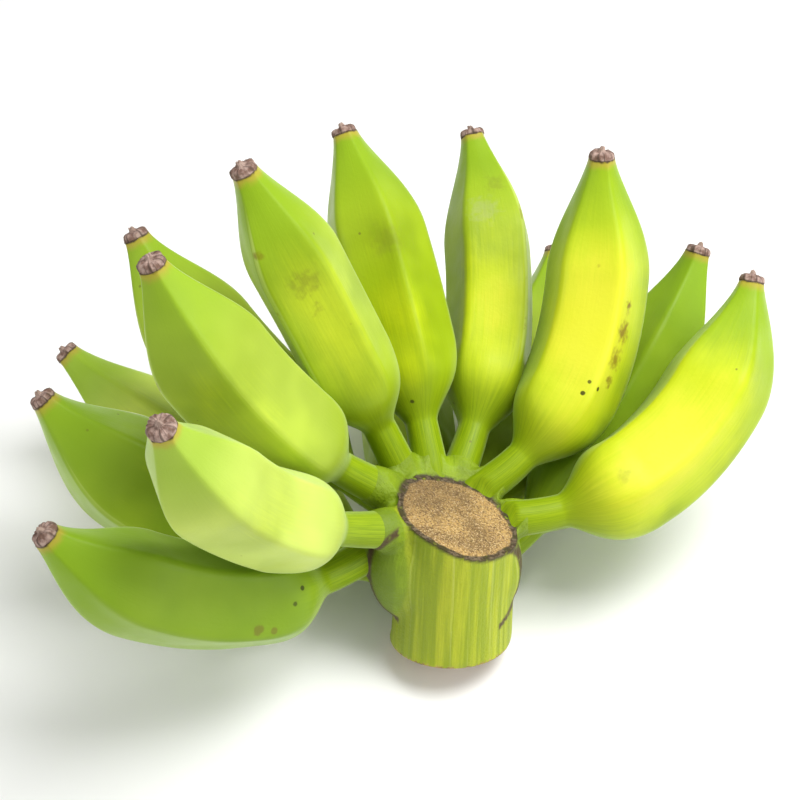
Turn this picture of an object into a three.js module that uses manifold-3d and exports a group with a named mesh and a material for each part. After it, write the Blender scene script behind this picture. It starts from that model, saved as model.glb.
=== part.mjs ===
// A hand of fourteen green bananas, cut from its bunch with a short length of the stalk.
//
// The fingers grow in two rows round the back and the sides of the stalk: seven above and
// seven below, each on a pedicel that sinks into the fused cushion. Every finger ends in the
// dried stub of its flower. The hand lies leaning back, on the rear edge of the cut stalk and
// on the bellies of three lower fingers.
//
// Millimetres and degrees. The hand is built round the upright stalk (+Z along it, +X right,
// +Y away from the front) and then leant back as a whole.

import * as THREE from 'three';
import { mergeVertices } from 'three/addons/utils/BufferGeometryUtils.js';
import Module from 'manifold-3d';

const wasm = await Module();
wasm.setup();

// ---- driving dimensions ------------------------------------------------------------------

const LEAN = 20;              // how far the whole hand leans back from the upright stalk
const GAP = 0.3;              // clearance between neighbouring solids

const STALK = {
  radius: 24,
  topRadius: 22.8,
  height: 53,                 // from the lower cut to the middle of the upper cut
  drift: 0.04,                // sideways run of its axis per millimetre of height
  cutToFront: 10,             // the upper cut falls this much towards the front
  cutToRight: 19,             // and this much towards the right
  lowEdge: 1.2,               // bevel of the lower cut
  waist: 0.8,                 // how much it narrows at mid height
  topEdge: 1,                 // bevel of the upper cut
  sides: 28,
};

const CUSHION = {
  radius: 29,
  low: 13,                    // where it leaves the stalk
  high: 50,                   // where it ends under the upper cut
  lowInset: 7,                // how much narrower it is at its low end
  highInset: 5,               // and at its high end
  fullInset: 1,               // and where its ends start to round off
  lowRound: 8,                // height over which the low end rounds off
  highRound: 6,
  widest: 17,                 // height of its widest ring above the low end
  shiftX: -2,
  shiftY: 7,
};

// Swollen shoulders where two bracts sat in front of the pedicels: middle and half-sizes.
const SHOULDERS = [
  { middle: [-18, -6, 35], half: [14.3, 12, 22] },
  { middle: [14, 2, 30], half: [13.6, 14, 19] },
];

const COLLAR = {              // the swollen foot of each pedicel, part of the cushion
  radius: 9.5,
  mouth: 7.6,
  inside: 13,                 // how deep it reaches into the stalk
  flare: 0.3,                 // share of the inside part over which it starts to narrow
  sides: 12,
  outside: 3,                 // how far it runs up the pedicel
};

const FINGER = {
  neck: 6,                    // pedicel radius
  foot: 0.6,                  // extra radius where the pedicel leaves the cushion
  tip: 5,                     // radius under the dried flower end
  shoulder: 0.075,            // share of the body over which the pedicel swells out
  taper: 0.52,                // share of the body that narrows to the tip
  shoulderCurve: 1.15,        // exponents of the two curves
  taperCurve: 0.85,
  ridges: 5,
  flat: 0.93,                 // radius between two ridges against the radius on them
  sides: 10,
  rings: 17,
  evenRings: 0.35,            // share of the ring spacing that is even; the rest closes up
  closing: 1.6,               // towards the shoulder with this exponent
};

const FLOWER_END = { radius: 5.2, collar: 5.6, length: 5.5, point: 1.1, sides: 10 };

// One row per finger: where its pedicel leaves the cushion (angle round the stalk, height and
// distance from the axis), its heading round the stalk and its rise above level, both at the
// root and at the tip, its length with the pedicel, the pedicel's length and the widest radius.
const UPPER_ROW = [
  { at: 206, up: 55, out: 32, heading: [220, 248], rise: [19, 56], length: 139, pedicel: 31, girth: 20.0 },
  { at: 166, up: 63, out: 32, heading: [210, 213], rise: [37, 66], length: 136, pedicel: 26, girth: 21.5 },
  { at: 130, up: 63, out: 32, heading: [185, 199], rise: [67, 64], length: 134, pedicel: 28, girth: 19.0 },
  { at: 105, up: 60, out: 31, heading: [107, 127], rise: [53, 60], length: 136, pedicel: 26, girth: 20.0 },
  { at: 83, up: 56, out: 34, heading: [65, 110], rise: [34, 54], length: 150, pedicel: 28, girth: 19.5 },
  { at: 58, up: 54, out: 31, heading: [22, 103], rise: [28, 89], length: 142, pedicel: 24, girth: 20.5 },
  { at: 23, up: 46, out: 30, heading: [4, 64], rise: [4, 66], length: 141, pedicel: 24, girth: 23.0 },
];
const LOWER_ROW = [
  { at: 187, up: 38, out: 34, heading: [223, 199], rise: [-10, 50], length: 139, pedicel: 32, girth: 21.5 },
  { at: 169, up: 29, out: 31, heading: [177, 177], rise: [4, 53], length: 144, pedicel: 28, girth: 23.5 },
  { at: 137, up: 27, out: 32, heading: [144, 160], rise: [-3, 40], length: 166, pedicel: 26, girth: 21.0 },
  { at: 147, up: 51, out: 30, heading: [158, 159], rise: [23, 62], length: 142, pedicel: 26, girth: 22.0 },
  { at: 106, up: 33, out: 33, heading: [98, 90], rise: [-1, 70], length: 160, pedicel: 27, girth: 21.0 },
  { at: 73, up: 31, out: 32, heading: [73, 71], rise: [0, 57], length: 154, pedicel: 29, girth: 19.0 },
  { at: 49, up: 25, out: 30, heading: [45, 41], rise: [12, 68], length: 156, pedicel: 31, girth: 19.0 },
];

// ---- materials ---------------------------------------------------------------------------

const material = (color, roughness) => new THREE.MeshStandardMaterial({ color, roughness, metalness: 0 });
const skin = () => material(0x9cbf2a, 0.42);
const stalkSkin = () => material(0xa9b95a, 0.6);
const driedFlower = () => material(0x6d5a50, 0.9);

// ---- solids and booleans -----------------------------------------------------------------

// Welds a three.js geometry into a closed solid for adding and subtracting.
function solid(geometry) {
  const bare = geometry.clone();
  bare.deleteAttribute('normal');
  bare.deleteAttribute('uv');
  const welded = mergeVertices(bare, 1e-4);
  const triangles = [];
  const index = welded.index.array;
  for (let i = 0; i < index.length; i += 3) {
    const [a, b, c] = index.subarray(i, i + 3);
    if (a !== b && b !== c && c !== a) triangles.push(a, b, c);
  }
  return new wasm.Manifold(new wasm.Mesh({
    numProp: 3,
    vertProperties: new Float32Array(welded.attributes.position.array),
    triVerts: new Uint32Array(triangles),
  }));
}

// Turns a solid back into a geometry.
function geometryOf(body) {
  const mesh = body.getMesh();
  const geometry = new THREE.BufferGeometry();
  geometry.setAttribute('position', new THREE.BufferAttribute(mesh.vertProperties, 3));
  geometry.setIndex(new THREE.BufferAttribute(mesh.triVerts, 1));
  geometry.computeVertexNormals();
  return geometry;
}

const radians = THREE.MathUtils.degToRad;

// Moves every vertex of a geometry to where the function sends it.
function reshape(geometry, move) {
  const place = geometry.attributes.position;
  const point = new THREE.Vector3();
  for (let i = 0; i < place.count; i += 1) {
    point.fromBufferAttribute(place, i);
    move(point);
    place.setXYZ(i, point.x, point.y, point.z);
  }
  geometry.computeVertexNormals();
  return geometry;
}

// ---- a finger's centre line and girth ----------------------------------------------------

// Unit direction for a heading round the stalk and a rise above level.
function direction(heading, rise) {
  const level = Math.cos(radians(rise));
  return new THREE.Vector3(
    level * Math.cos(radians(heading)),
    level * Math.sin(radians(heading)),
    Math.sin(radians(rise)),
  );
}

// The centre line turns evenly from the root's direction to the tip's. It is walked in short
// steps, and carries a side vector along with the least twist.
function centreLine(finger, steps = 80) {
  const at = (share) => direction(
    THREE.MathUtils.lerp(finger.heading[0], finger.heading[1], share),
    THREE.MathUtils.lerp(finger.rise[0], finger.rise[1], share),
  );
  const angle = radians(finger.at);
  const point = new THREE.Vector3(finger.out * Math.cos(angle), finger.out * Math.sin(angle), finger.up);
  const up = new THREE.Vector3(0, 0, 1);
  const side = new THREE.Vector3().crossVectors(at(0), up).normalize();
  const line = [];
  for (let i = 0; i <= steps; i += 1) {
    const along = at(i / steps);
    side.addScaledVector(along, -side.dot(along)).normalize();
    line.push({ point: point.clone(), along, side: side.clone() });
    point.addScaledVector(at((i + 0.5) / steps), finger.length / steps);
  }
  return line;
}

// Point, direction and side at a distance from the root; straight on before and past the ends.
function stationAt(line, length, distance) {
  const place = THREE.MathUtils.clamp(distance / length, 0, 1) * (line.length - 1);
  const low = Math.min(Math.floor(place), line.length - 2);
  const share = place - low;
  const along = line[low].along.clone().lerp(line[low + 1].along, share).normalize();
  const side = line[low].side.clone().lerp(line[low + 1].side, share);
  side.addScaledVector(along, -side.dot(along)).normalize();
  const point = line[low].point.clone().lerp(line[low + 1].point, share);
  const beyond = distance - THREE.MathUtils.clamp(distance, 0, length);
  point.addScaledVector(along, beyond);
  return { point, along, side, third: new THREE.Vector3().crossVectors(along, side) };
}

// Radius of a finger at a distance from its root: a plain pedicel, a quick shoulder, a long
// belly and a taper to the tip.
function radiusAt(finger, distance) {
  if (distance < finger.pedicel) {
    return FINGER.neck + FINGER.foot * (1 - Math.max(distance, 0) / finger.pedicel) ** 2;
  }
  const share = (distance - finger.pedicel) / (finger.length - finger.pedicel);
  const swell = 1 - Math.exp(-((share / FINGER.shoulder) ** FINGER.shoulderCurve));
  const narrow = Math.sin((Math.min((1 - share) / FINGER.taper, 1) * Math.PI) / 2) ** FINGER.taperCurve;
  const full = FINGER.neck + (finger.girth - FINGER.neck) * swell;
  return FINGER.tip + (full - FINGER.tip) * narrow;
}

// Distances from the root of a finger's rings: even on the pedicel, close at the shoulder.
function ringDistances(finger) {
  const body = finger.length - finger.pedicel;
  const onBody = FINGER.rings - 3;
  const rings = [0, finger.pedicel * 0.5];
  for (let i = 0; i <= onBody; i += 1) {
    const share = i / onBody;
    const placed = FINGER.evenRings * share + (1 - FINGER.evenRings) * share ** FINGER.closing;
    rings.push(finger.pedicel + body * placed);
  }
  return rings;
}

// A turned profile of radius against length, bent along the finger's centre line. The extra
// swells it evenly, to cut a socket that clears it.
function fingerGeometry(finger, extra = 0) {
  const rings = ringDistances(finger);
  const profile = rings.map((distance) => new THREE.Vector2(radiusAt(finger, distance) + extra, distance));
  profile[0].y -= extra;
  profile[profile.length - 1].y += extra;
  profile.unshift(new THREE.Vector2(0, profile[0].y));
  profile.push(new THREE.Vector2(0, profile[profile.length - 1].y));
  const line = centreLine(finger);
  return reshape(new THREE.LatheGeometry(profile, FINGER.sides), (vertex) => {
    const { point, side, third } = stationAt(line, finger.length, vertex.y);
    const turn = Math.atan2(vertex.z, vertex.x);
    const onBody = THREE.MathUtils.smoothstep(vertex.y, finger.pedicel, finger.pedicel * 1.3);
    const ridge = 0.5 + 0.5 * Math.cos(FINGER.ridges * turn);
    const angular = THREE.MathUtils.lerp(1, THREE.MathUtils.lerp(FINGER.flat, 1, ridge), onBody);
    vertex.copy(point.addScaledVector(side, vertex.x * angular).addScaledVector(third, -vertex.z * angular));
  });
}

// The dried stub of the flower, just past a finger's tip.
function flowerEndGeometry(finger) {
  const { radius, collar, length, point, sides } = FLOWER_END;
  const profile = [
    new THREE.Vector2(0, GAP),
    new THREE.Vector2(radius, GAP),
    new THREE.Vector2(collar, GAP + length * 0.3),
    new THREE.Vector2(collar * 0.72, GAP + length * 0.62),
    new THREE.Vector2(point * 1.6, GAP + length * 0.72),
    new THREE.Vector2(point, GAP + length),
    new THREE.Vector2(0, GAP + length),
  ];
  const line = centreLine(finger);
  return reshape(new THREE.LatheGeometry(profile, sides), (vertex) => {
    const station = stationAt(line, finger.length, finger.length + vertex.y);
    vertex.copy(station.point
      .addScaledVector(station.side, vertex.x)
      .addScaledVector(station.third, -vertex.z));
  });
}

// ---- the crown: cut stalk, cushion and the pedicels' swollen feet -------------------------

// Height of the upper cut above its middle.
function cutRise(x, y) {
  return y * Math.tan(radians(STALK.cutToFront)) - x * Math.tan(radians(STALK.cutToRight));
}

// A turned profile stood upright round the stalk's axis. What lies above the middle follows
// the slope of the upper cut.
function uprightLathe(profile, shiftX = 0, shiftY = 0) {
  const points = profile.map(([radius, height]) => new THREE.Vector2(radius, height));
  return reshape(new THREE.LatheGeometry(points, STALK.sides), (vertex) => {
    const height = vertex.y;
    const x = vertex.x + shiftX;
    const y = shiftY - vertex.z;
    const slope = THREE.MathUtils.smoothstep(height, STALK.height * 0.35, STALK.height * 0.9);
    vertex.set(x + STALK.drift * height, y, height + slope * cutRise(x, y));
  });
}

const stalk = uprightLathe([
  [0, 0],
  [STALK.radius - STALK.lowEdge, 0],
  [STALK.radius, STALK.lowEdge],
  [STALK.radius - STALK.waist, STALK.height * 0.45],
  [STALK.topRadius, STALK.height - STALK.topEdge],
  [STALK.topRadius - STALK.topEdge, STALK.height],
  [0, STALK.height],
]);

const cushion = uprightLathe([
  [0, CUSHION.low],
  [CUSHION.radius - CUSHION.lowInset, CUSHION.low],
  [CUSHION.radius - CUSHION.fullInset, CUSHION.low + CUSHION.lowRound],
  [CUSHION.radius, CUSHION.low + CUSHION.widest],
  [CUSHION.radius - CUSHION.fullInset, CUSHION.high - CUSHION.highRound],
  [CUSHION.radius - CUSHION.highInset, CUSHION.high],
  [0, CUSHION.high],
], CUSHION.shiftX, CUSHION.shiftY);

// The round waste that the knife takes off above the upper cut.
const cutRadius = STALK.topRadius - STALK.topEdge;
const wasteHeight = 40;
const wasteRound = new THREE.CylinderGeometry(cutRadius, cutRadius, wasteHeight, STALK.sides);
const waste = reshape(wasteRound, (vertex) => {
  const x = vertex.x;
  const y = -vertex.z;
  const height = STALK.height + wasteHeight / 2 + vertex.y;
  vertex.set(x + STALK.drift * STALK.height, y, height + cutRise(x, y));
});

// The swollen foot of one pedicel.
function collarGeometry(finger) {
  const profile = [
    new THREE.Vector2(0, -COLLAR.inside),
    new THREE.Vector2(COLLAR.radius, -COLLAR.inside),
    new THREE.Vector2(COLLAR.radius, -COLLAR.inside * COLLAR.flare),
    new THREE.Vector2(COLLAR.mouth, COLLAR.outside),
    new THREE.Vector2(0, COLLAR.outside),
  ];
  const line = centreLine(finger);
  return reshape(new THREE.LatheGeometry(profile, COLLAR.sides), (vertex) => {
    const { point, side, third } = stationAt(line, finger.length, vertex.y);
    vertex.copy(point.addScaledVector(side, vertex.x).addScaledVector(third, -vertex.z));
  });
}

function shoulderGeometry({ middle, half }) {
  return new THREE.SphereGeometry(1, 16, 12).scale(...half).translate(...middle);
}

function crownGeometry(fingers) {
  let crown = solid(stalk).add(solid(cushion));
  for (const shoulder of SHOULDERS) crown = crown.add(solid(shoulderGeometry(shoulder)));
  for (const finger of fingers) crown = crown.add(solid(collarGeometry(finger)));
  crown = crown.subtract(solid(waste));
  for (const finger of fingers) crown = crown.subtract(solid(fingerGeometry(finger, GAP)));
  return geometryOf(crown);
}

// ---- the hand ----------------------------------------------------------------------------

const hand = new THREE.Group();

function addPiece(name, geometry, finish) {
  const piece = new THREE.Mesh(geometry, finish);
  piece.name = name;
  hand.add(piece);
}

addPiece('stalk_crown', crownGeometry([...UPPER_ROW, ...LOWER_ROW]), stalkSkin());
for (const [row, fingers] of [['upper', UPPER_ROW], ['lower', LOWER_ROW]]) {
  fingers.forEach((finger, i) => {
    addPiece(`${row}_finger_${i + 1}`, fingerGeometry(finger), skin());
    addPiece(`${row}_flower_end_${i + 1}`, flowerEndGeometry(finger), driedFlower());
  });
}

// Lean the hand back, then put the origin at the middle of its footprint, on the table.
hand.rotation.x = -radians(LEAN);
hand.updateMatrixWorld(true);
const box = new THREE.Box3().setFromObject(hand, true);
hand.position.set(-(box.min.x + box.max.x) / 2, -(box.min.y + box.max.y) / 2, -box.min.z);
hand.updateMatrixWorld(true);

export default hand;
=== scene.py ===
import bpy
import numpy as np
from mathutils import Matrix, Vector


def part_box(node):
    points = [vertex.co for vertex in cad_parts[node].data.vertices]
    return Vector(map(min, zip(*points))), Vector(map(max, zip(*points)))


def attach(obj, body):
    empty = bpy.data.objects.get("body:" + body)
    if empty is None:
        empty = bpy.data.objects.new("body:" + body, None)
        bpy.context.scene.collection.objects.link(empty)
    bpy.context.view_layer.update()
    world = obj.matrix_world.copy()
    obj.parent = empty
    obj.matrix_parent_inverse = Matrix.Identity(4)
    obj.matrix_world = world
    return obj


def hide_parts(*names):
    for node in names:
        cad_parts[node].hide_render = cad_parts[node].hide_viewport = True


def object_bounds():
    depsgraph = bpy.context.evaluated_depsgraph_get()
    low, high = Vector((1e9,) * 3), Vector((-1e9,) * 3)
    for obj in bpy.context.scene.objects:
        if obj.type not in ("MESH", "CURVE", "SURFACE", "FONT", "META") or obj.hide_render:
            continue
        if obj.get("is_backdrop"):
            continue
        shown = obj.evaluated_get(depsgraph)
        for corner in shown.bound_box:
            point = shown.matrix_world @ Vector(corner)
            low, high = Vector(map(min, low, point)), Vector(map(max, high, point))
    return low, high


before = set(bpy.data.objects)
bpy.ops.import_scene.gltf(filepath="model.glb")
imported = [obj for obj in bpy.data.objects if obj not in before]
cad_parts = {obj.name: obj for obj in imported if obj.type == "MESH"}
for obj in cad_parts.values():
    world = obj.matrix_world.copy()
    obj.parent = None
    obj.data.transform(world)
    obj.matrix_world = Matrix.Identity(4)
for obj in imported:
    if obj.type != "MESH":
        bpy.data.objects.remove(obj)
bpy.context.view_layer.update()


# ---- Where the hand grows and how it lies --------------------------------------------------
# The hand is worked out round its upright stalk, in millimetres: +Z along the stalk from the
# lower cut, +X right, +Y away from the front. It then leans back onto its lower fingers.

LEAN = np.radians(20)
LEAN_BACK = np.array([
    [1, 0, 0],
    [0, np.cos(LEAN), np.sin(LEAN)],
    [0, -np.sin(LEAN), np.cos(LEAN)],
])
TO_FRONT = LEAN_BACK.T @ np.array([0, -np.cos(np.pi / 4), np.sin(np.pi / 4)])


# ---- Fingers -------------------------------------------------------------------------------
# Short plump green bananas in two rows, each on its own pedicel. A finger is a tapered tube on
# a curved line, with five blunt ridges. Each is a single berry, grown out of the cushion.

NECK, FOOT, TIP = 6.6, 0.4, 5.0            # radii of the pedicel, its flare and the tip, in mm
SHOULDER, TAPER = 0.12, 0.40               # shares of the body that swell out and that narrow
SHOULDER_CURVE, TAPER_CURVE = 1.7, 1.35    # exponents of the two curves
NECK_END = 0.62                            # share of the pedicel that stays thin
RIDGE_SCALE = 1.07                         # widening that makes up for the flats between ridges
DENT = 0.35                                # depth of the soft unevenness, in mm
RIDGES = 5

# Angle round the stalk, height and distance of the root; heading and rise at root and tip;
# length, pedicel, girth; turn of the ridges; then the colouring: how yellow, how pale, and the
# ripening cheek's place along the finger and round it from the front. On some fingers the
# paleness is partly painted light. Some are a deeper green, which is partly painted shade.
UPPER_ROW = [
    # Its pale value is set high to paint light onto its upward facet.
    dict(at=206, up=55, out=32, heading=(220, 248), rise=(19, 56), length=139, pedicel=31,
         girth=20.0, ridge=20, yellow=0.30, pale=1.00, cheek=(0.55, 20), cheek_size=1.1),
    dict(at=166, up=63, out=32, heading=(210, 213), rise=(37, 66), length=136, pedicel=26,
         girth=21.5, ridge=12, yellow=0.30, pale=0.35, cheek=(0.55, -20), cheek_size=1.0),
    dict(at=130, up=63, out=32, heading=(185, 199), rise=(67, 64), length=134, pedicel=28,
         girth=19.0, ridge=33, yellow=0.55, pale=0.15, cheek=(0.55, 5), cheek_size=0.9),
    dict(at=105, up=60, out=31, heading=(107, 127), rise=(53, 60), length=136, pedicel=26,
         girth=20.0, ridge=44, yellow=0.45, pale=0.05, cheek=(0.35, 0), cheek_size=0.9),
    dict(at=83, up=56, out=34, heading=(65, 110), rise=(34, 54), length=150, pedicel=28,
         girth=19.5, ridge=70, yellow=0.72, pale=0.08, cheek=(0.40, 0), cheek_size=1.0),
    dict(at=58, up=54, out=31, heading=(22, 103), rise=(28, 89), length=142, pedicel=24,
         girth=20.5, ridge=49, yellow=1.00, pale=0.10, cheek=(0.52, 0), cheek_size=1.5),
    dict(at=23, up=46, out=30, heading=(4, 64), rise=(4, 66), length=141, pedicel=24,
         girth=23.0, ridge=55, yellow=0.92, pale=0.12, cheek=(0.42, -10), cheek_size=1.4),
]
LOWER_ROW = [
    # A deeper green, which is partly painted shade.
    dict(at=187, up=38, out=34, heading=(223, 199), rise=(-10, 50), length=139, pedicel=32,
         girth=19.9, ridge=17, yellow=0.05, green=0.65, pale=0.10, cheek=(0.45, 40), cheek_size=0.9),
    # A deeper green, which is partly painted shade.
    dict(at=169, up=29, out=31, heading=(177, 177), rise=(4, 53), length=144, pedicel=28,
         girth=23.5, ridge=14, yellow=0.15, green=0.40, pale=0.12, cheek=(0.50, 0), cheek_size=0.9),
    # Its pale and yellow values are set high to paint light onto a finger that lies in shade.
    dict(at=137, up=27, out=32, heading=(144, 160), rise=(-3, 40), length=166, pedicel=26,
         girth=21.0, ridge=15, yellow=0.40, pale=0.80, cheek=(0.65, 0), cheek_size=0.9),
    dict(at=147, up=51, out=30, heading=(158, 159), rise=(23, 62), length=142, pedicel=26,
         girth=22.0, ridge=25, yellow=0.10, pale=0.30, cheek=(0.60, 0), cheek_size=0.9),
    dict(at=106, up=33, out=33, heading=(98, 90), rise=(-1, 70), length=160, pedicel=27,
         girth=21.0, ridge=30, yellow=0.15, pale=0.20, cheek=(0.50, 0), cheek_size=0.9),
    dict(at=73, up=31, out=32, heading=(73, 71), rise=(0, 57), length=154, pedicel=29,
         girth=19.0, ridge=5, yellow=0.15, pale=0.20, cheek=(0.50, 0), cheek_size=0.9),
    # A deeper green, which is partly painted shade.
    dict(at=49, up=25, out=30, heading=(45, 41), rise=(12, 68), length=156, pedicel=31,
         girth=19.0, ridge=35, yellow=0.10, green=0.45, pale=0.10, cheek=(0.60, 0), cheek_size=0.9),
]


def headings(finger, share):
    """Unit directions at shares of the length: heading and rise both turn evenly."""
    heading = np.radians(np.interp(share, [0, 1], finger["heading"]))
    rise = np.radians(np.interp(share, [0, 1], finger["rise"]))
    return np.stack([np.cos(rise) * np.cos(heading), np.cos(rise) * np.sin(heading), np.sin(rise)], -1)


def centre_line(finger, steps=400):
    """Points of the line, walked from the root in equal steps along the mid-step directions."""
    angle = np.radians(finger["at"])
    root = np.array([finger["out"] * np.cos(angle), finger["out"] * np.sin(angle), finger["up"]])
    middle = headings(finger, (np.arange(steps) + 0.5) / steps)
    walked = np.cumsum(middle, axis=0) * finger["length"] / steps
    return np.vstack([root, root + walked])


def stations(finger, distance):
    """Point, direction and two side vectors at distances from the root, straight on past both
    ends. The first side vector is level, square to the direction, and turned so that the pair
    twists as little as the CAD's does: its level start is carried along the line."""
    line = centre_line(finger)
    steps = len(line) - 1
    along = headings(finger, np.linspace(0, 1, steps + 1))
    side = np.empty_like(along)
    side[0] = np.cross(along[0], [0, 0, 1])
    side[0] /= np.linalg.norm(side[0])
    for i in range(1, steps + 1):
        carried = side[i - 1] - along[i] * (side[i - 1] @ along[i])
        side[i] = carried / np.linalg.norm(carried)
    held = np.clip(distance, 0, finger["length"])
    place = held / finger["length"] * steps
    at = [np.stack([np.interp(place, np.arange(steps + 1), field[:, k]) for k in range(3)], -1)
          for field in (line, along, side)]
    point, along, side = at
    point = point + along * (distance - held)[:, None]
    return point, along, side, np.cross(along, side)


def girth_at(finger, distance):
    """Radius: a plain pedicel with a flared foot, a quick exponential shoulder, a long belly
    and a sine taper to the tip."""
    before = np.clip(distance / finger["pedicel"], 0, 1)
    pedicel = NECK + FOOT * (1 - before) ** 2
    share = np.clip((distance - finger["pedicel"]) / (finger["length"] - finger["pedicel"]), 0, 1)
    past_neck = np.maximum(distance - NECK_END * finger["pedicel"], 0)
    past_neck = past_neck / (finger["length"] - finger["pedicel"])
    swell = 1 - np.exp(-((past_neck / SHOULDER) ** SHOULDER_CURVE))
    narrow = np.sin(np.minimum((1 - share) / TAPER, 1) * np.pi / 2) ** TAPER_CURVE
    body = TIP + (NECK + (finger["girth"] - NECK) * swell - TIP) * narrow
    return np.where(share == 0, np.maximum(pedicel, body), body)


def ridged(turn, seed, sharpness=22.0):
    """Section of a finger as a share of its radius: the rounded outline of five flats whose
    facings are a fifth of a turn apart, give or take a few degrees."""
    draw = np.random.default_rng(seed)
    facing = (np.arange(RIDGES) + draw.uniform(-0.09, 0.09, RIDGES)) * 2 * np.pi / RIDGES
    reach = np.maximum(np.cos(turn[..., None] - facing), 0) ** sharpness
    section = reach.sum(-1) ** (-1 / sharpness)
    return section / section.max()


def ripple(across, along, seed, waves=9):
    """Soft unevenness between -1 and 1: a sum of sine waves over two coordinates."""
    draw = np.random.default_rng(seed)
    total = 0
    for _ in range(waves):
        turns = draw.integers(1, 6)
        pitch = draw.uniform(0.02, 0.14)
        total = total + np.sin(turns * across + pitch * along + draw.uniform(0, 2 * np.pi))
    return total / waves


def smoothstep(low, high, value):
    """0 below low, 1 above high, and a smooth rise between them."""
    share = np.clip((value - low) / (high - low), 0, 1)
    return share * share * (3 - 2 * share)


def closed_grid(rows, columns):
    """Faces of a grid that closes round its columns, with a fan at each end. The two end
    points follow the grid's own points."""
    row, column = np.meshgrid(np.arange(rows - 1), np.arange(columns), indexing="ij")
    ahead = (column + 1) % columns
    quads = np.stack([row * columns + column, row * columns + ahead,
                      (row + 1) * columns + ahead, (row + 1) * columns + column], -1).reshape(-1, 4)
    ring = np.arange(columns)
    after = (ring + 1) % columns
    first, last = rows * columns, rows * columns + 1
    near = np.stack([np.full(columns, first), after, ring], -1)
    far = np.stack([np.full(columns, last), (rows - 1) * columns + ring, (rows - 1) * columns + after], -1)
    return quads.tolist() + near.tolist() + far.tolist()


def make_piece(name, points, faces, marks=None):
    """A mesh object at the origin, from points in metres, with named values on its points."""
    mesh = bpy.data.meshes.new(name)
    mesh.from_pydata(points.tolist(), [], faces)
    mesh.update()
    for label, values in (marks or {}).items():
        attribute = mesh.attributes.new(label, "FLOAT", "POINT")
        attribute.data.foreach_set("value", np.asarray(values, dtype=np.float32).ravel())
    mesh.polygons.foreach_set("use_smooth", np.ones(len(mesh.polygons), dtype=bool))
    piece = bpy.data.objects.new(name, mesh)
    bpy.context.scene.collection.objects.link(piece)
    return piece


STALK_RADIUS, TOP_RADIUS, STALK_HEIGHT, DRIFT = 24.0, 22.8, 53.0, 0.04
CUT_TO_FRONT, CUT_TO_RIGHT = np.tan(np.radians(10)), np.tan(np.radians(19))


def cut_plane(x, y):
    """Height of the stalk's upper cut over a point."""
    return STALK_HEIGHT + y * CUT_TO_FRONT - (x - DRIFT * STALK_HEIGHT) * CUT_TO_RIGHT


def under_cut(points):
    """What would stand over the cut face is pressed down below it."""
    x, y, z = np.moveaxis(points, -1, 0)
    inside = smoothstep(TOP_RADIUS + 0.5, TOP_RADIUS - 1.5, np.hypot(x - DRIFT * STALK_HEIGHT, y))
    lowered = np.minimum(z, cut_plane(x, y) - 3)
    return np.stack([x, y, z + (lowered - z) * inside], -1)


def finger_shape(finger, seed, rows=170, columns=84):
    """Grid of a finger: rings along the line, closest at the shoulder and the tip, each ring
    the ridged section times the radius. Returns points in the growing frame and point values."""
    length, pedicel = finger["length"], finger["pedicel"]
    even = np.linspace(0, 1, rows - 8)
    body = np.interp(even, [0, 0.16, 0.36, 0.86, 1], [0, pedicel * 0.8, pedicel + 16, length - 16, length])
    distance = np.concatenate([[-12, -9, -6, -3, -1], body, [length + 0.12, length + 0.2, length + 0.24]])
    share_of_radius = np.ones(rows)
    share_of_radius[-3:] = [0.93, 0.7, 0.35]
    turn = np.linspace(0, 2 * np.pi, columns, endpoint=False)
    point, along, side, third = stations(finger, distance)
    section = ridged(turn + np.radians(finger["ridge"]), seed)
    angular = smoothstep(pedicel * 0.95, pedicel + 26, distance) * (1 - 0.45 * smoothstep(
        length - 30, length, distance))
    radius = girth_at(finger, distance) * share_of_radius
    outline = 1 - (1 - section[None]) * angular[:, None]
    uneven = ripple(turn[None], distance[:, None], seed + 50)
    clear_of_ends = smoothstep(0, 30, distance) * smoothstep(0, 20, length - distance)
    dent = DENT * (uneven - 1) * clear_of_ends[:, None]
    fuller = np.interp(distance, [0, pedicel, pedicel + 20], [1, 1, RIDGE_SCALE])
    reach = radius[:, None] * outline * fuller[:, None] + dent
    ring = (side[:, None] * np.cos(turn)[None, :, None] + third[:, None] * np.sin(turn)[None, :, None])
    grid = under_cut(point[:, None] + ring * reach[..., None])
    points = np.vstack([grid.reshape(-1, 3), point[:1], point[-1:]])
    crest = smoothstep(0.945, 1.0, section)[None] * angular[:, None]
    cheek_at, cheek_turn = finger["cheek"]
    front = np.arctan2(third @ TO_FRONT, side @ TO_FRONT) + np.radians(cheek_turn)
    apart = np.angle(np.exp(1j * (turn[None] - front[:, None])))
    size = finger["cheek_size"]
    cheek = np.exp(-((apart / (0.95 * size)) ** 2))
    cheek = cheek * np.exp(-((distance[:, None] / length - cheek_at) / (0.30 * size)) ** 2)
    flat = lambda field: np.append(np.broadcast_to(field, (rows, columns)).ravel(), [0, 0])
    marks = {
        "crest": flat(crest),
        "cheek": flat(cheek),
        "along_mm": np.append(np.broadcast_to(distance[:, None], (rows, columns)).ravel(), [-7, length]),
        "from_tip_mm": np.append(np.broadcast_to(length - distance[:, None], (rows, columns)).ravel(),
                                 [length + 7, 0]),
        "turn_mm": flat(turn[None] * 20 + 0 * distance[:, None]),
    }
    return points, closed_grid(rows, columns), marks


ROWS = [("upper", UPPER_ROW), ("lower", LOWER_ROW)]
STUB_AT = np.array([0.3, 1.95, 3.71, 4.26, 5.8])           # rings of the plain solid flower end:
STUB_RADIUS = np.array([5.2, 5.6, 4.03, 1.76, 1.1])        # places past the tip, and radii


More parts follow.
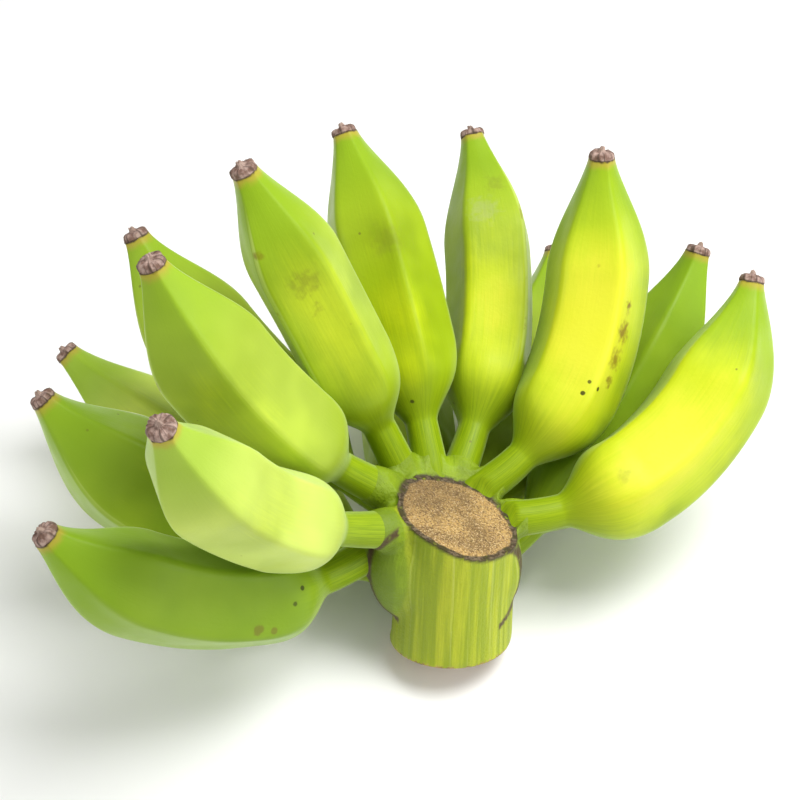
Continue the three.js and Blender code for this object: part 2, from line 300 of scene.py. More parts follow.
def plain_stub(finger, sides=10):
    """Corners of the solid flower end that marks a finger's tip in the row."""
    point, _, side, third = stations(finger, finger["length"] + STUB_AT)
    turn = np.arange(sides) / sides * 2 * np.pi
    ring = side[:, None] * np.sin(turn)[None, :, None] - third[:, None] * np.cos(turn)[None, :, None]
    return (point[:, None] + ring * STUB_RADIUS[:, None, None]).reshape(-1, 3)


# Each stub's box gives the place of the stalk's foot in the row's frame. The mean of all is used.
offsets = []
for row, fingers in ROWS:
    for place, finger in enumerate(fingers, 1):
        corners = plain_stub(finger) @ LEAN_BACK.T / 1000
        low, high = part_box(f"{row}_flower_end_{place}")
        offsets.append((np.array(low) + np.array(high) - corners.min(0) - corners.max(0)) / 2)
FOOT_AT = np.mean(offsets, axis=0)


def in_frame(points):
    """Growing frame, in millimetres and already leant back, to the row's frame, in metres. What
    would dip under the table is pressed flat on it."""
    placed = points / 1000 + FOOT_AT
    placed[:, 2] = np.maximum(placed[:, 2], 0.0001)
    return placed


# ---- Banana skin ---------------------------------------------------------------------------
# Unripe banana peel: waxy and satin, lime green and yellowing on the cheeks that ripen first.
# The ridges are paler along their crests as a painted highlight, and wear brown; the pedicels stay
# deep green, and fibres run lengthwise. Grazing edges are paler as a painted reflection. On some
# fingers the paleness is partly painted light and the deeper green partly painted shade.

def linear(colour):
    """An sRGB hex colour as linear RGBA."""
    channels = np.array([int(colour[i:i + 2], 16) for i in (1, 3, 5)]) / 255
    light = np.where(channels <= 0.04045, channels / 12.92, ((channels + 0.055) / 1.055) ** 2.4)
    return (*light.tolist(), 1.0)


def add_node(tree, kind, settings=None, inputs=None):
    """One node with its settings, and its inputs set or linked. An input that is an output
    socket is linked, and anything else is a value."""
    node = tree.nodes.new(kind)
    for key, value in (settings or {}).items():
        setattr(node, key, value)
    for key, value in (inputs or {}).items():
        socket = node.inputs[key]
        if isinstance(value, bpy.types.NodeSocket):
            tree.links.new(value, socket)
        else:
            socket.default_value = value
    return node


def new_material(name):
    """An empty node material with its output. Returns the material, its tree and the output."""
    material = bpy.data.materials.new(name)
    material.use_nodes = True
    tree = material.node_tree
    tree.nodes.clear()
    return material, tree, tree.nodes.new("ShaderNodeOutputMaterial")


def value_of(tree, label):
    """The named value that a piece carries on its points."""
    return add_node(tree, "ShaderNodeAttribute", {"attribute_name": label}).outputs["Fac"]


def noise(tree, scale, detail=3.0, rough=0.5, vector=None, distortion=0.0):
    """Noise between 0 and 1; the scale is in features per metre on Object coordinates."""
    if vector is None:
        vector = tree.nodes.new("ShaderNodeTexCoord").outputs["Object"]
    node = add_node(tree, "ShaderNodeTexNoise", None, {
        "Vector": vector, "Scale": scale, "Detail": detail, "Roughness": rough, "Distortion": distortion})
    return node.outputs["Fac"]


def remap(tree, value, low, high, new_low=0.0, new_high=1.0):
    """A value carried smoothly from one range to another, and held inside it."""
    node = add_node(tree, "ShaderNodeMapRange", {"interpolation_type": "SMOOTHSTEP"}, {
        "Value": value, "From Min": low, "From Max": high, "To Min": new_low, "To Max": new_high})
    return node.outputs["Result"]


def calc(tree, operation, first, second=0.0, third=0.0):
    """One sum on one, two or three values."""
    node = add_node(tree, "ShaderNodeMath", {"operation": operation}, {0: first, 1: second, 2: third})
    return node.outputs[0]


def tint(tree, amount, under, over):
    """One colour over another, by an amount."""
    node = add_node(tree, "ShaderNodeMix", {"data_type": "RGBA"}, {0: amount})
    for socket, colour in ((node.inputs[6], under), (node.inputs[7], over)):
        if isinstance(colour, str):
            socket.default_value = linear(colour)
        else:
            tree.links.new(colour, socket)
    return node.outputs[2]


def spot(tree, centre, radius_mm, rough_mm=1.0, scale=400.0):
    """A ragged spot round a point of the skin: 1 inside its radius and 0 outside."""
    place = tree.nodes.new("ShaderNodeTexCoord").outputs["Object"]
    away = add_node(tree, "ShaderNodeVectorMath", {"operation": "DISTANCE"}, {0: place, 1: centre})
    ragged = calc(tree, "MULTIPLY_ADD", noise(tree, scale), rough_mm / 1000, -rough_mm / 2000)
    reach = calc(tree, "ADD", away.outputs["Value"], ragged)
    firm = 0.8 - min(rough_mm / 12, 0.6)
    return remap(tree, reach, radius_mm / 1000 * firm, radius_mm / 1000 * 1.1, 1.0, 0.0)


def skin_material(name, finger, spots):
    """Peel from its coats: green body, a deeper green that is partly painted shade, yellow cheek, pale
    bloom that on some fingers is partly painted light, deep pedicel, a painted highlight along the
    crests, worn crests, then fine speckles, the finger's own scars and a painted reflection on the
    grazing edges."""
    material, tree, output = new_material(f"banana_peel_{name}")
    along = value_of(tree, "along_mm")
    from_tip = value_of(tree, "from_tip_mm")
    crest = value_of(tree, "crest")
    fibre_place = add_node(tree, "ShaderNodeCombineXYZ", None, {
        "X": value_of(tree, "turn_mm"), "Y": calc(tree, "MULTIPLY", along, 0.05)}).outputs[0]
    fibre = noise(tree, 0.9, 4.0, 0.6, fibre_place)
    patch = noise(tree, 32.0, 2.0)
    body = tint(tree, remap(tree, patch, 0.35, 0.7), "#849d00", "#9ab300")
    # Deeper green on some fingers, which is partly painted shade.
    body = tint(tree, finger.get("green", 0.0), body, "#5f8a0c")
    ripe = calc(tree, "MULTIPLY", value_of(tree, "cheek"), finger["yellow"])
    streaked = calc(tree, "MULTIPLY_ADD", calc(tree, "SUBTRACT", fibre, 0.5), 0.35, ripe)
    blotched = calc(tree, "MULTIPLY_ADD", calc(tree, "SUBTRACT", noise(tree, 55.0), 0.5), 0.45, streaked)
    body = tint(tree, remap(tree, blotched, 0.12, 0.62), body, "#bccb06")
    body = tint(tree, remap(tree, blotched, 0.50, 0.95), body, "#d8d62c")
    # Pale bloom in patches; on the palest fingers it partly paints light onto them.
    bloom_and_painted_light_patch = remap(tree, noise(tree, 16.0, 3.0), 0.0, 0.9)
    bloom_and_painted_light = calc(tree, "MULTIPLY", bloom_and_painted_light_patch, 0.05 + 0.85 * finger["pale"])
    body = tint(tree, bloom_and_painted_light, body, "#dcec7c")
    green_end = remap(tree, from_tip, 10.0, 46.0, 0.7, 0.0)
    body = tint(tree, green_end, body, "#84a81c")
    deep = remap(tree, along, finger["pedicel"] * 0.55, finger["pedicel"] + 14.0, 1.0, 0.0)
    stalk_green = tint(tree, remap(tree, fibre, 0.35, 0.65), "#708c04", "#8ea60c")
    body = tint(tree, calc(tree, "MULTIPLY", deep, 0.85), body, stalk_green)
    # Pale lines along the ridge crests: a painted highlight.
    body = tint(tree, calc(tree, "MULTIPLY", remap(tree, crest, 0.55, 1.0), 0.55), body, "#cfe07c")
    rubbed = remap(tree, noise(tree, 140.0, 5.0), 0.60, 0.68)
    worn = calc(tree, "MULTIPLY", remap(tree, crest, 0.7, 1.0), rubbed)
    body = tint(tree, calc(tree, "MULTIPLY", worn, 0.7), body, "#8a7f36")
    speck = add_node(tree, "ShaderNodeTexVoronoi", {"feature": "F1"}, {
        "Vector": tree.nodes.new("ShaderNodeTexCoord").outputs["Object"], "Scale": 110.0})
    here = remap(tree, speck.outputs["Distance"], 0.045, 0.075, 1.0, 0.0)
    rare = remap(tree, noise(tree, 40.0, 1.0), 0.58, 0.64)
    body = tint(tree, calc(tree, "MULTIPLY", calc(tree, "MULTIPLY", here, rare), 0.7), body, "#6c6a22")
    halo_reach = calc(tree, "MULTIPLY_ADD", noise(tree, 300.0), 3.0, from_tip)
    halo = remap(tree, halo_reach, 2.2, 6.0, 1.0, 0.0)
    body = tint(tree, calc(tree, "MULTIPLY", halo, 0.75), body, "#b39a3e")
    edge_reach = calc(tree, "MULTIPLY_ADD", noise(tree, 500.0), 1.6, from_tip)
    edge = remap(tree, edge_reach, 0.9, 1.9, 1.0, 0.0)
    body = tint(tree, edge, body, "#4a3a26")
    for centre, radius_mm, rough_mm, colour, strength in spots:
        here = spot(tree, centre, radius_mm, rough_mm)
        body = tint(tree, calc(tree, "MULTIPLY", here, strength), body, colour)
    # Paler towards grazing angles: a painted reflection of the bright surroundings.
    facing = add_node(tree, "ShaderNodeLayerWeight", None, {"Blend": 0.5}).outputs["Facing"]
    body = tint(tree, remap(tree, facing, 0.5, 1.0, 0.0, 0.36), body, "#cfe4a6")
    shader = add_node(tree, "ShaderNodeBsdfPrincipled", None, {
        "Base Color": body, "IOR": 1.4, "Specular IOR Level": 0.22, "Subsurface Weight": 0.06,
        "Subsurface Radius": (0.6, 1.0, 0.1), "Subsurface Scale": 0.002})
    tree.links.new(remap(tree, noise(tree, 90.0, 4.0), 0.3, 0.7, 0.34, 0.50), shader.inputs["Roughness"])
    grain = calc(tree, "MULTIPLY_ADD", fibre, 0.6, calc(tree, "MULTIPLY", noise(tree, 700.0, 3.0), 0.5))
    bump = add_node(tree, "ShaderNodeBump", None, {"Height": grain, "Strength": 0.22, "Distance": 0.0006})
    tree.links.new(bump.outputs[0], shader.inputs["Normal"])
    tree.links.new(shader.outputs[0], output.inputs["Surface"])
    return material


def on_skin(finger, distance, turn_from_front):
    """The point of a finger's surface at a distance from its root, and at an angle in degrees
    round it from the side that faces the front."""
    point, along, side, third = stations(finger, np.array([float(distance)]))
    angle = np.arctan2(third[0] @ TO_FRONT, side[0] @ TO_FRONT) + np.radians(turn_from_front)
    reach = girth_at(finger, np.array([float(distance)]))[0] * 0.96
    surface = point[0] + reach * (side[0] * np.cos(angle) + third[0] * np.sin(angle))
    return tuple((LEAN_BACK @ surface) / 1000 + FOOT_AT)


BROWN, DARK, OLIVE, GREY = "#7a5a18", "#2b2412", "#77752a", "#a9b07c"
# Scars of a finger: distance from the root, turn from the front, radius and raggedness in
# millimetres, colour and strength.
SCARS = {
    "upper_finger_1": [
        (70, 30, 1.0, 1.0, OLIVE, 0.8), (88, 45, 0.9, 1.0, OLIVE, 0.8),
    ],
    "upper_finger_2": [
        (95, 20, 0.8, 0.8, OLIVE, 0.7), (60, 25, 0.8, 0.9, OLIVE, 0.7),
    ],
    "upper_finger_3": [
        (92, 0, 7.0, 12.0, OLIVE, 0.45), (80, 0, 3.5, 6.0, OLIVE, 0.5),
        (45, 5, 0.9, 0.5, DARK, 0.8), (108, -40, 2.6, 5.0, BROWN, 0.45),
    ],
    "upper_finger_4": [
        (88, 10, 8.0, 14.0, OLIVE, 0.25), (24, -10, 1.0, 1.5, DARK, 0.8),
    ],
    "upper_finger_5": [
        (112, -5, 8.0, 13.0, GREY, 0.35), (124, 20, 5.0, 9.0, OLIVE, 0.3),
        (118, -45, 0.9, 0.8, DARK, 0.8), (127, -50, 0.8, 0.8, DARK, 0.7),
    ],
    "upper_finger_6": [
        (100, -5, 2.1, 1.2, BROWN, 0.9), (84, 46, 3.2, 6.0, BROWN, 0.9),
        (74, 44, 5.6, 9.0, BROWN, 0.85), (64, 42, 5.6, 9.0, BROWN, 0.75),
        (55, 44, 3.2, 4.0, BROWN, 0.9), (88, 50, 1.2, 0.8, DARK, 0.9),
        (70, 50, 1.2, 0.8, DARK, 0.9), (59, 38, 1.1, 0.8, DARK, 0.9),
        (50, 25, 1.2, 0.8, DARK, 0.9), (46, 12, 1.1, 0.8, DARK, 0.9),
        (51, 14, 0.9, 0.8, DARK, 0.8),
    ],
    "upper_finger_7": [
        (40, -15, 4.0, 7.0, OLIVE, 0.3), (60, 30, 1.0, 0.8, BROWN, 0.9),
        (88, -20, 0.9, 0.6, OLIVE, 0.9),
    ],
    "lower_finger_1": [
        (58, -30, 2.2, 2.5, OLIVE, 0.8), (52, -35, 1.5, 1.5, OLIVE, 0.8),
        (44, -10, 1.2, 0.8, DARK, 0.7), (40, 5, 1.0, 0.8, DARK, 0.8),
    ],
}


for row, fingers in ROWS:
    for place, finger in enumerate(fingers, 1):
        name = f"{row}_finger_{place}"
        points, faces, marks = finger_shape(finger, seed=10 * place + len(row) + ord(row[0]))
        piece = make_piece(name + "_peel", in_frame(points @ LEAN_BACK.T), faces, marks)
        spots = [(on_skin(finger, distance, turn), radius, rough, colour, strength)
                 for distance, turn, radius, rough, colour, strength in SCARS.get(name, [])]
        piece.data.materials.append(skin_material(name, finger, spots))
        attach(piece, "root")
        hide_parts(name)


# ---- Dried flower ends ---------------------------------------------------------------------
# The brown shrivelled remains of each flower: a short puckered collar that closes on the
# withered style. They dry on the fruit, and stay as brittle stubs on the green tips.

def dried_material():
    """Dry corky plant tissue: grey-brown and matt, with painted shade along its folds."""
    material, tree, output = new_material("dried_flower_tissue")
    height = value_of(tree, "height_share")
    fold = value_of(tree, "fold")
    body = tint(tree, remap(tree, noise(tree, 420.0, 4.0), 0.35, 0.65), "#74574a", "#b0968a")
    # Darker along the folds: painted shade.
    body = tint(tree, remap(tree, fold, 0.45, 0.9, 0.0, 0.75), body, "#3a2a20")
    body = tint(tree, remap(tree, height, 0.55, 0.85, 0.0, 0.45), body, "#c0a99a")
    body = tint(tree, remap(tree, height, 0.0, 0.2, 0.85, 0.0), body, "#3c3018")
    shader = add_node(tree, "ShaderNodeBsdfPrincipled", None, {"Base Color": body, "Roughness": 0.85})
    bump = add_node(tree, "ShaderNodeBump", None, {
        "Height": noise(tree, 1400.0, 4.0), "Strength": 0.6, "Distance": 0.0006})
    tree.links.new(bump.outputs[0], shader.inputs["Normal"])
    tree.links.new(shader.outputs[0], output.inputs["Surface"])
    return material


def flower_end_shape(finger, seed, rows=34, columns=60):
    """Grid of a stub: rings from the tip's edge, out over a puckered collar and in to the
    withered style. Lobes and fine folds run up it and deepen towards the collar."""
    height = np.array([-0.8, 0.0, 0.4, 1.4, 2.3, 2.9, 3.1, 3.0, 3.4, 4.2, 4.7, 4.8])
    radius = np.array([4.7, 5.15, 5.35, 5.5, 5.3, 4.4, 3.2, 2.0, 1.45, 1.2, 0.9, 0.3])
    share = np.linspace(0, 1, rows)
    knots = np.linspace(0, 1, len(height))
    turn = np.linspace(0, 2 * np.pi, columns, endpoint=False)
    draw = np.random.default_rng(seed)
    up = np.interp(share, knots, height)[:, None]
    out = np.interp(share, knots, radius)[:, None]
    lobes = np.sin(5 * turn + draw.uniform(0, 6) + 1.4 * share[:, None])
    folds = np.sin(13 * turn + draw.uniform(0, 6) + 3 * np.sin(2 * turn) + 4 * share[:, None])
    fine = np.sin(23 * turn + draw.uniform(0, 6) + 2 * np.cos(3 * turn))
    strength = smoothstep(0.05, 0.35, share)[:, None]
    fold = 0.5 + 0.25 * folds + 0.15 * fine + 0.10 * lobes
    out = out * (1 - strength * (0.05 + 0.10 * fold + 0.04 * (1 + lobes)))
    sag = 0.55 * fold + 0.25 * (1 + np.sin(2 * turn + draw.uniform(0, 6)))
    up = up - strength * sag * smoothstep(0, 0.6, share)[:, None]
    point, along, side, third = stations(finger, np.array([float(finger["length"])]))
    lean = 0.5 * np.array([np.cos(draw.uniform(0, 6)), np.sin(draw.uniform(0, 6))])
    lean = lean * smoothstep(0.6, 1, share)[:, None]
    grid = (point[0] + along[0] * up[..., None]
            + side[0] * (out * np.cos(turn) + lean[:, :1])[..., None]
            + third[0] * (out * np.sin(turn) + lean[:, 1:])[..., None])
    ends = [point[0] + along[0] * up[0].mean(), grid[-1].mean(0) + along[0] * 0.05]
    marks = {
        "height_share": np.append(np.broadcast_to(share[:, None], (rows, columns)).ravel(), [0, 1]),
        "fold": np.append(np.broadcast_to(1 - fold, (rows, columns)).ravel(), [0, 0]),
    }
    return np.vstack([grid.reshape(-1, 3), ends]), closed_grid(rows, columns), marks


dried = dried_material()
for row, fingers in ROWS:
    for place, finger in enumerate(fingers, 1):
        points, faces, marks = flower_end_shape(finger, seed=200 + 10 * place + len(row))
        piece = make_piece(f"{row}_flower_end_{place}_dried", in_frame(points @ LEAN_BACK.T), faces, marks)
        piece.data.materials.append(dried)
        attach(piece, "root")
        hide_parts(f"{row}_flower_end_{place}")


# ---- Cut stalk and cushion -----------------------------------------------------------------
# The length of bunch stalk that the hand was cut with, and the cushion round its back where
# all pedicels join. It is fibrous and juicy: its skin is streaked, and both knife cuts are dry.

COLLAR_RADIUS, COLLAR_MOUTH, COLLAR_INSIDE, COLLAR_OUTSIDE = 8.4, 5.2, 13.0, 11.0
# Swollen shoulders where two bracts sat in front of the pedicels: middle and half-sizes.
SHOULDERS = [((-18, -6, 35), (14.3, 12, 22)), ((14, 2, 30), (13.6, 14, 19))]
VOXEL = 0.0009


def upright(profile, shift=(0, 0), rows=60, columns=96):
    """A round profile of (radius, height) turned about the stalk's axis. Above the middle its
    heights follow the slope of the upper cut."""
    radius, height = np.array(profile, dtype=float).T
    walked = np.concatenate([[0], np.cumsum(np.hypot(np.diff(radius), np.diff(height)))])
    even = np.linspace(0, walked[-1], rows)
    out, up = np.interp(even, walked, radius)[:, None], np.interp(even, walked, height)[:, None]
    turn = np.linspace(0, 2 * np.pi, columns, endpoint=False)
    x = out * np.cos(turn) + shift[0]
    y = out * np.sin(turn) + shift[1]
    slope = smoothstep(STALK_HEIGHT * 0.35, STALK_HEIGHT * 0.9, up)
    z = up + slope * (y * CUT_TO_FRONT - x * CUT_TO_RIGHT)
    grid = np.stack([x + DRIFT * up, y, z], -1)
    return np.vstack([grid.reshape(-1, 3), grid[0].mean(0), grid[-1].mean(0)]), closed_grid(rows, columns)


def collar(finger, rows=24, columns=32):
    """The swollen foot of a pedicel: a cone that flares back into the cushion."""
    distance = np.linspace(-COLLAR_INSIDE, COLLAR_OUTSIDE, rows)
    flare = smoothstep(-COLLAR_INSIDE * 0.45, COLLAR_OUTSIDE, distance)
    radius = COLLAR_RADIUS + (COLLAR_MOUTH - COLLAR_RADIUS) * flare
    turn = np.linspace(0, 2 * np.pi, columns, endpoint=False)
    point, along, side, third = stations(finger, distance)
    ring = side[:, None] * np.cos(turn)[None, :, None] + third[:, None] * np.sin(turn)[None, :, None]
    grid = point[:, None] + ring * radius[:, None, None]
    return np.vstack([grid.reshape(-1, 3), point[:1], point[-1:]]), closed_grid(rows, columns)


def shoulder(middle, half, rows=40, columns=64):
    """An ellipsoid: rings from its lowest point to its highest."""
    tall = np.linspace(-np.pi / 2 + 0.03, np.pi / 2 - 0.03, rows)[:, None]
    turn = np.linspace(0, 2 * np.pi, columns, endpoint=False)
    unit = np.stack([np.cos(tall) * np.cos(turn), np.cos(tall) * np.sin(turn), np.sin(tall) + 0 * turn], -1)
    grid = np.array(middle) + unit * np.array(half)
    return np.vstack([grid.reshape(-1, 3), grid[0].mean(0), grid[-1].mean(0)]), closed_grid(rows, columns)


def fused(parts):
    """All closed parts as one skin: remeshed together, then smoothed so that they run into one
    another in fillets. Returns points in millimetres and faces."""
    meshes, count, faces = [], 0, []
    for points, part_faces in parts:
        meshes.append(points)
        faces += [[corner + count for corner in face] for face in part_faces]
        count += len(points)
    source = make_piece("crown_parts", np.vstack(meshes) / 1000, faces)
    remesh = source.modifiers.new("join", "REMESH")
    remesh.mode = "VOXEL"
    remesh.voxel_size = VOXEL
    smooth = source.modifiers.new("fillet", "SMOOTH")
    smooth.factor = 0.5
    smooth.iterations = 14
    whole = bpy.data.meshes.new_from_object(source.evaluated_get(bpy.context.evaluated_depsgraph_get()))
    points = np.empty(len(whole.vertices) * 3)
    whole.vertices.foreach_get("co", points)
    joined = [list(face.vertices) for face in whole.polygons]
    bpy.data.objects.remove(source)
    return points.reshape(-1, 3) * 1000, joined


stalk = upright([
    (0.01, -3), (STALK_RADIUS, -3), (STALK_RADIUS - 0.8, STALK_HEIGHT * 0.45),
    (TOP_RADIUS + 0.2, STALK_HEIGHT - 2), (TOP_RADIUS, STALK_HEIGHT + 4), (0.01, STALK_HEIGHT + 4)])
cushion = upright([
    (0.01, 13), (20, 13), (26, 17), (28.4, 24), (28.9, 32), (28, 42), (24, 49), (0.01, 50)], (-2, 7))
collars = [collar(finger) for _, fingers in ROWS for finger in fingers]
shoulders = [shoulder(middle, half) for middle, half in SHOULDERS]
points, faces = fused([stalk, cushion, *shoulders, *collars])

x, y, z = points.T
axis_x = DRIFT * np.clip(z, 0, STALK_HEIGHT)
from_axis = np.hypot(x - axis_x, y)
around = np.arctan2(y, x - axis_x)
streak = ripple(around * 9, z * 0.3, 300, 14) + 0.6 * ripple(around * 23, z * 0.5, 301, 14)
skin_part = smoothstep(-1, 3, z)
bark = 0.16 * streak * skin_part * smoothstep(STALK_RADIUS + 4, STALK_RADIUS + 1, from_axis)
facet = 0.5 * np.cos(5 * around + 0.6) * skin_part * smoothstep(STALK_RADIUS + 3, STALK_RADIUS, from_axis)
push = (bark + facet - 0.4) / np.maximum(from_axis, 5)
x = x + (x - axis_x) * push
y = y + y * push

# The knife's two cuts: flat, with fibres standing a little proud and a ragged rim.
plane = cut_plane(x, y)
rough_cut = 0.22 * ripple(x * 2.1, y * 9, 310, 16) + 0.22 * ripple(y * 2.3, x * 9, 311, 16)
edge = smoothstep(TOP_RADIUS - 2.8, TOP_RADIUS - 1.2, from_axis + 0.6 * ripple(around * 5, around * 20, 314))
rim_lift = edge * (0.3 + 0.6 * ripple(around * 6, around * 30, 312, 12))
knifed = plane - 0.4 + np.maximum(from_axis - TOP_RADIUS - 0.4, 0) * 1.1
z = np.where(from_axis < TOP_RADIUS + 7, np.minimum(z, knifed), z)
over = (z > plane - 0.8) & (from_axis < TOP_RADIUS + 1.0)
cut_top = plane - 0.5 + rough_cut * (1 - edge) + rim_lift - 0.5 * smoothstep(TOP_RADIUS * 0.9, 0, from_axis)
z = np.where(over & (z > cut_top), cut_top, z)
bottom = 0.15 + 0.15 * ripple(x * 2, y * 8, 313, 12)
low_cut = z < bottom + 0.3
z = np.where(z < bottom, bottom, z)

inside_rim = smoothstep(TOP_RADIUS + 0.6, TOP_RADIUS - 0.2, from_axis)
on_cut = np.where(over & (z >= cut_top - 0.25), inside_rim, 0)


def seam(across, middle, half_width, low, high):
    """A line where a value crosses its middle, between two heights."""
    near = smoothstep(half_width, half_width * 0.35, np.abs(across - middle))
    return near * smoothstep(low, low + 4, z) * smoothstep(high, high - 4, z)


# The seams follow the shoulders' outlines: ovals seen from the front.
left_oval = np.hypot((x + 18) / 14.3, (z - 35) / 22)
right_oval = np.hypot((x - 14) / 13.6, (z - 30) / 19)
left_seam = seam(left_oval, 0.94, 0.11, 8, 62) * (x < -20) * (y < 6)
right_seam = seam(right_oval, 0.95, 0.09, 8, 50) * (x > 18) * (y < 6)
below_rim = plane - z
crown_marks = {
    "cut": on_cut,
    "cut_edge": edge,
    "low_cut": low_cut.astype(float),
    "scar": np.maximum(left_seam, right_seam),
    # Painted shade: darker down the stalk's left side, most of all at the front left.
    "facet": np.maximum(smoothstep(-21.5, -23.5, x - axis_x) * smoothstep(-2, -8, y + 4),
                        0.4 * smoothstep(-9, -17, x - axis_x)),
    "cut_shade": smoothstep(-0.3, 1.0, (y - x) / 25),
    "rim": smoothstep(2.2, 0.6, below_rim) * smoothstep(TOP_RADIUS + 1.3, TOP_RADIUS + 0.5, from_axis),
    "streak": streak,
    "around": np.degrees(around),
    "behind": smoothstep(-1.5, 1.5, from_axis - STALK_RADIUS - 1.5 + 3.5 * smoothstep(-8, 6, y)),
    "height_mm": z,
}


def crown_material():
    """Stalk skin: yellow-green with pale and dark fibres lengthwise, and painted shade down its left
    side. Its cuts are dried pith, tan and porous, inside a dark torn rim. Where bracts fell off, a
    brown seam is left."""
    material, tree, output = new_material("banana_stalk_and_dried_pith")
    place = tree.nodes.new("ShaderNodeTexCoord").outputs["Object"]
    streak = value_of(tree, "streak")
    around = value_of(tree, "around")
    fibre_place = add_node(tree, "ShaderNodeCombineXYZ", None, {
        "X": calc(tree, "MULTIPLY", around, 0.35),
        "Y": calc(tree, "MULTIPLY", value_of(tree, "height_mm"), 0.03)})
    fibre = noise(tree, 2.4, 5.0, 0.65, fibre_place.outputs[0])
    wide = noise(tree, 0.35, 2.0, 0.5, fibre_place.outputs[0])
    skin = tint(tree, remap(tree, fibre, 0.30, 0.72), "#a6b118", "#bac328")
    skin = tint(tree, remap(tree, wide, 0.40, 0.60, 0.0, 0.8), skin, "#869a0a")
    skin = tint(tree, remap(tree, streak, 0.20, 0.7, 0.0, 0.35), skin, "#cfd673")
    skin = tint(tree, remap(tree, value_of(tree, "behind"), 0.1, 0.9, 0.0, 0.9), skin,
                tint(tree, remap(tree, noise(tree, 120.0, 3.0), 0.35, 0.65), "#758f08", "#8aa60e"))
    # Painted shade down the stalk's left side.
    skin = tint(tree, calc(tree, "MULTIPLY", value_of(tree, "facet"), 0.8), skin, "#6c8410")
    broken = remap(tree, noise(tree, 500.0, 4.0), 0.25, 0.5, 0.5, 1.0)
    scar = calc(tree, "MULTIPLY", value_of(tree, "scar"), broken)
    skin = tint(tree, scar, skin, "#4d3c1c")
    torn = remap(tree, noise(tree, 350.0, 5.0), 0.25, 0.48)
    skin = tint(tree, calc(tree, "MULTIPLY", value_of(tree, "rim"), torn), skin, "#403618")
    pith = tint(tree, remap(tree, noise(tree, 90.0, 2.0), 0.35, 0.65), "#8f7348", "#c09c60")
    pith = tint(tree, remap(tree, noise(tree, 1100.0, 3.0, 0.7), 0.47, 0.60, 0.0, 0.75), pith, "#59402a")
    pith = tint(tree, remap(tree, noise(tree, 1500.0, 2.0), 0.54, 0.64, 0.0, 0.7), pith, "#dcc090")
    pith = tint(tree, calc(tree, "MULTIPLY", value_of(tree, "cut_shade"), 0.5), pith, "#57432e")
    pore = add_node(tree, "ShaderNodeTexVoronoi", {"feature": "F1"}, {"Vector": place, "Scale": 900.0})
    pith = tint(tree, remap(tree, pore.outputs["Distance"], 0.12, 0.30, 0.6, 0.0), pith, "#4a3018")
    pith = tint(tree, remap(tree, value_of(tree, "cut_edge"), 0.2, 0.95, 0.0, 0.92), pith,
                tint(tree, remap(tree, noise(tree, 700.0, 4.0), 0.4, 0.62), "#30261a", "#6a5c4a"))
    dry = tint(tree, value_of(tree, "cut"), skin, pith)
    dry = tint(tree, value_of(tree, "low_cut"), dry, tint(tree, remap(tree, noise(tree, 300.0), 0.4, 0.6),
                                                          "#8a6f3a", "#b99a5e"))
    shader = add_node(tree, "ShaderNodeBsdfPrincipled", None, {
        "Base Color": dry, "IOR": 1.45, "Subsurface Weight": 0.06,
        "Subsurface Radius": (0.6, 1.0, 0.15), "Subsurface Scale": 0.002})
    tree.links.new(remap(tree, value_of(tree, "cut"), 0.0, 1.0, 0.5, 0.9), shader.inputs["Roughness"])
    height = calc(tree, "ADD", calc(tree, "MULTIPLY", fibre, 0.8), noise(tree, 900.0, 4.0))
    bump = add_node(tree, "ShaderNodeBump", None, {"Height": height, "Strength": 0.5, "Distance": 0.0009})
    tree.links.new(bump.outputs[0], shader.inputs["Normal"])
    tree.links.new(shader.outputs[0], output.inputs["Surface"])
    return material


crown = make_piece("stalk_crown_skin", in_frame(np.stack([x, y, z], -1) @ LEAN_BACK.T), faces, crown_marks)
crown.data.materials.append(crown_material())
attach(crown, "root")
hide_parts("stalk_crown")


# ---- Table, light and camera ---------------------------------------------------------------
# A plain pale table, lit by a large soft light above and two weak ones beside. The camera looks
# down on the hand from the front.

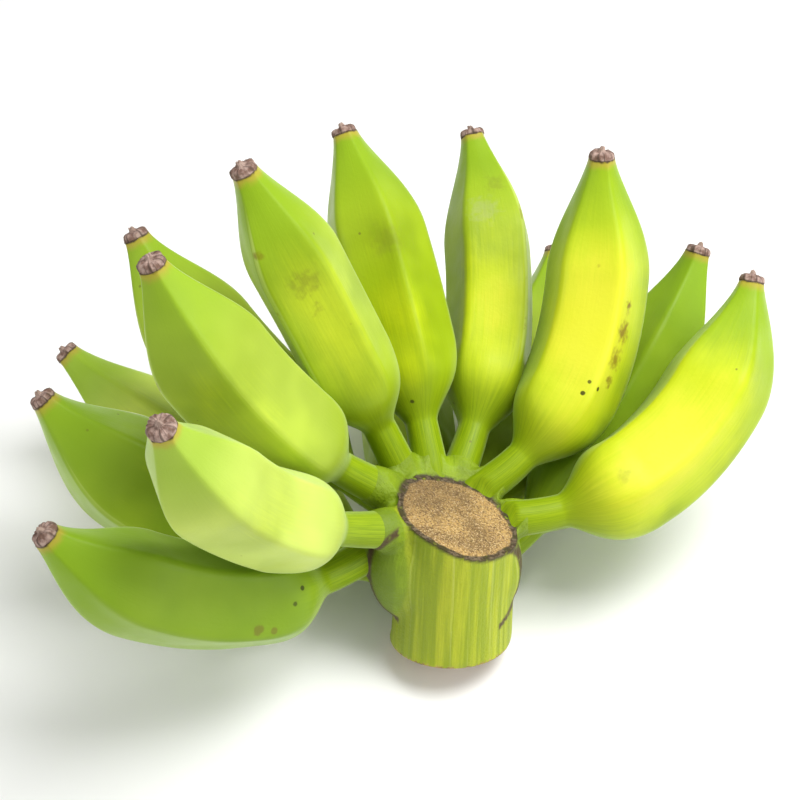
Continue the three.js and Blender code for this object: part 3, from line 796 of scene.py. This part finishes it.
table = make_piece("table", np.array([[-3, -3, 0], [3, -3, 0], [3, 3, 0], [-3, 3, 0]], float), [[0, 1, 2, 3]])
paper, tree, output = new_material("matt_white_paper")
sheet = add_node(tree, "ShaderNodeBsdfPrincipled", None, {
    "Base Color": tint(tree, noise(tree, 30.0, 3.0), "#f4f4f2", "#f7f7f6"), "Roughness": 0.9})
tree.links.new(sheet.outputs[0], output.inputs["Surface"])
table.data.materials.append(paper)
table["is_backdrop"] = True

world = bpy.data.worlds.new("studio")
world.use_nodes = True
world.node_tree.nodes["Background"].inputs["Color"].default_value = (1.0, 1.0, 1.0, 1.0)
world.node_tree.nodes["Background"].inputs["Strength"].default_value = 0.46
bpy.context.scene.world = world


def soft_light(name, place, size, power):
    """A square area light that faces the hand."""
    light = bpy.data.lights.new(name, "AREA")
    light.size = size
    light.energy = power
    lamp = bpy.data.objects.new(name, light)
    bpy.context.scene.collection.objects.link(lamp)
    lamp.location = place
    away = lamp.location - HAND_MIDDLE
    lamp.rotation_euler = away.to_track_quat("Z", "Y").to_euler()


low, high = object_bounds()
HAND_MIDDLE = (low + high) / 2
soft_light("overhead", (0.40, 0.02, 0.95), 0.6, 10.5)
soft_light("left", (-0.9, -0.5, 0.6), 0.6, 3.0)
soft_light("right", (0.9, -0.4, 0.5), 0.6, 3.0)

VIEW_ANGLE = np.radians(24)
REACH = 0.734                                       # metres from the lens to the stalk's foot
ELEVATION = np.radians(45)
ahead = np.array([0, np.cos(ELEVATION), -np.sin(ELEVATION)])
above = np.array([0, np.sin(ELEVATION), np.cos(ELEVATION)])
foot_right, foot_below = 0.0195, 0.0920             # where the foot sits from the view's centre
place = FOOT_AT - ahead * REACH - np.array([1, 0, 0]) * foot_right + above * foot_below
camera_data = bpy.data.cameras.new("camera")
camera_data.angle = VIEW_ANGLE
camera = bpy.data.objects.new("camera", camera_data)
bpy.context.scene.collection.objects.link(camera)
camera.location = place
camera.rotation_euler = (np.pi / 2 - ELEVATION, 0, 0)
bpy.context.scene.camera = camera
bpy.context.scene.view_settings.view_transform = "Standard"

low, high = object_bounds()
